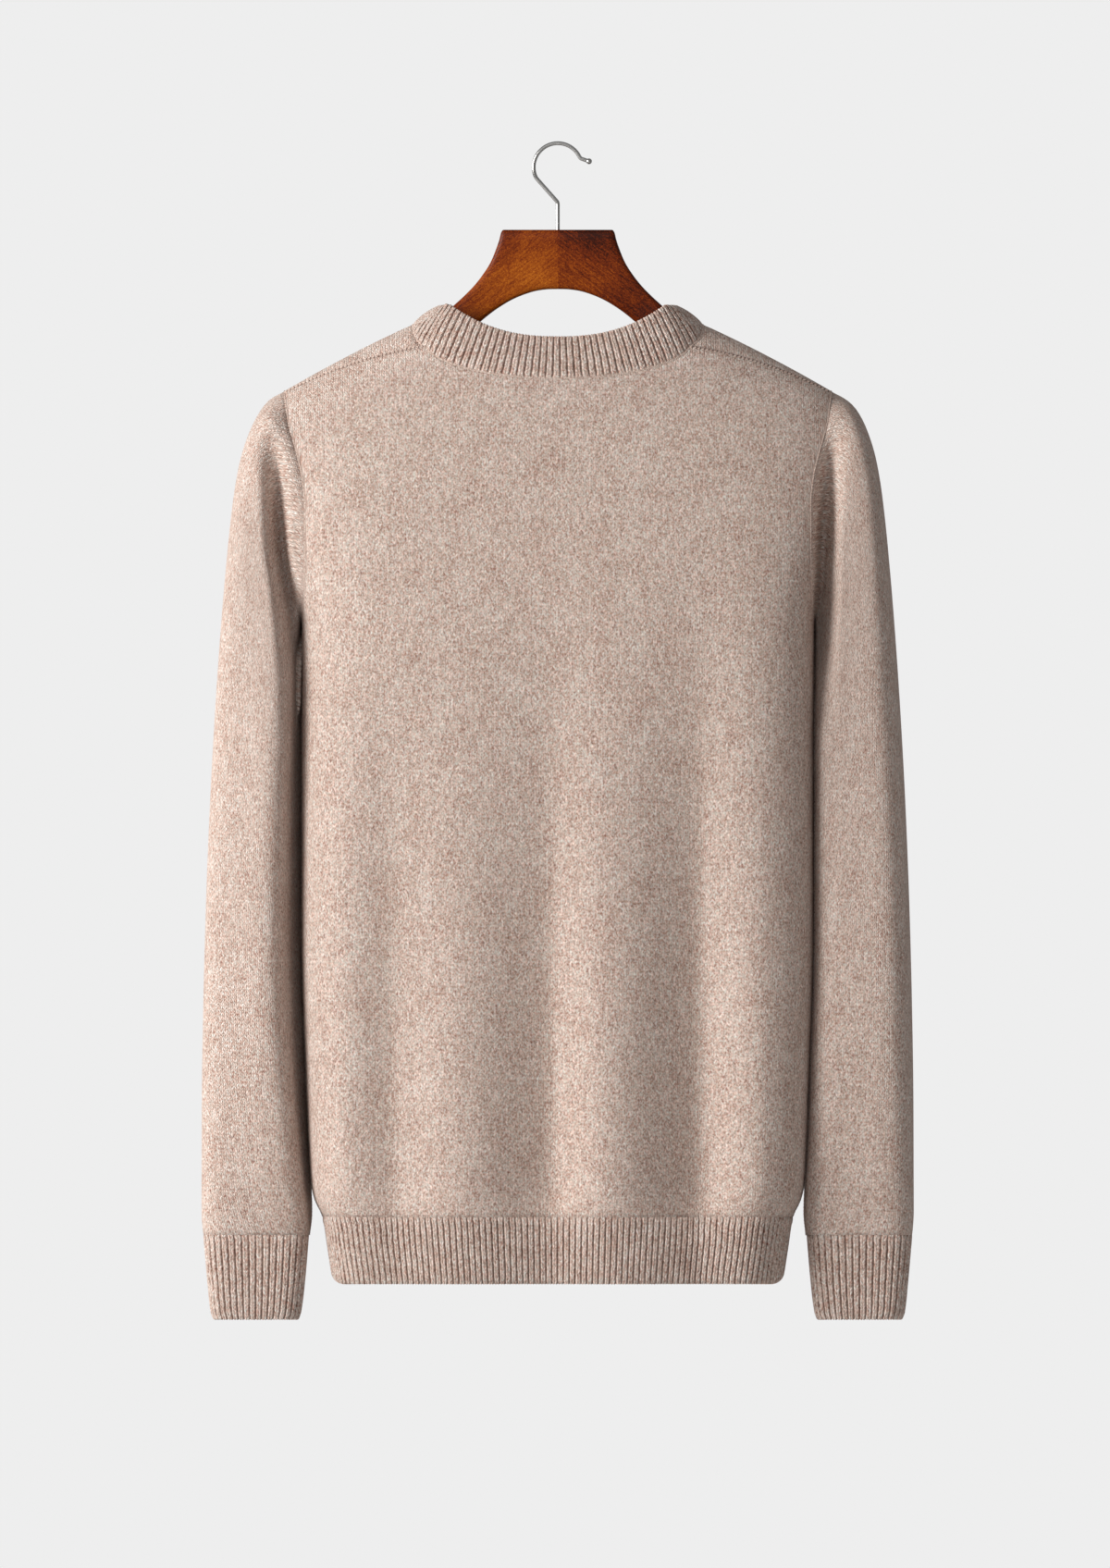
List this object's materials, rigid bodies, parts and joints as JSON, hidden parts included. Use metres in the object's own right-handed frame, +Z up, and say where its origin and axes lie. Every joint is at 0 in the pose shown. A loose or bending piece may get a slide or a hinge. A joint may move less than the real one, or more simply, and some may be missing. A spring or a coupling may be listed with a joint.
{
  "type": "crew-neck sweater on a wooden hanger",
  "caption": "Plain-knit crew-neck sweater with long sleeves and ribbed neckband, cuffs and hem, hanging on a contoured wooden hanger with a wire hook.",
  "frame": {"origin": "the inside top of the hook's loop, where it bears on a rail", "axes": "+Z up; +X to the right as seen from behind the garment; the garment's back faces -Y and its front faces +Y"},
  "size_m": [0.5105, 0.1807, 0.8438],
  "materials": {
    "jersey_knit": "matt marled wool-blend plain knit, oatmeal",
    "rib_knit": "matt marled wool-blend rib knit, oatmeal",
    "varnished_wood": "satin varnish, chestnut",
    "hook_steel": "bright plated wire"
  },
  "bodies": {
    "root": {"back_panel": "jersey_knit", "front_panel": "jersey_knit", "sleeve_right": "jersey_knit", "sleeve_left": "jersey_knit", "hem_rib_back": "rib_knit", "hem_rib_front": "rib_knit", "neckband": "rib_knit", "cuff_right": "rib_knit", "cuff_left": "rib_knit", "hanger_arm_right": "varnished_wood", "hanger_arm_left": "varnished_wood", "hook": "hook_steel"}
  },
  "joints": []
}
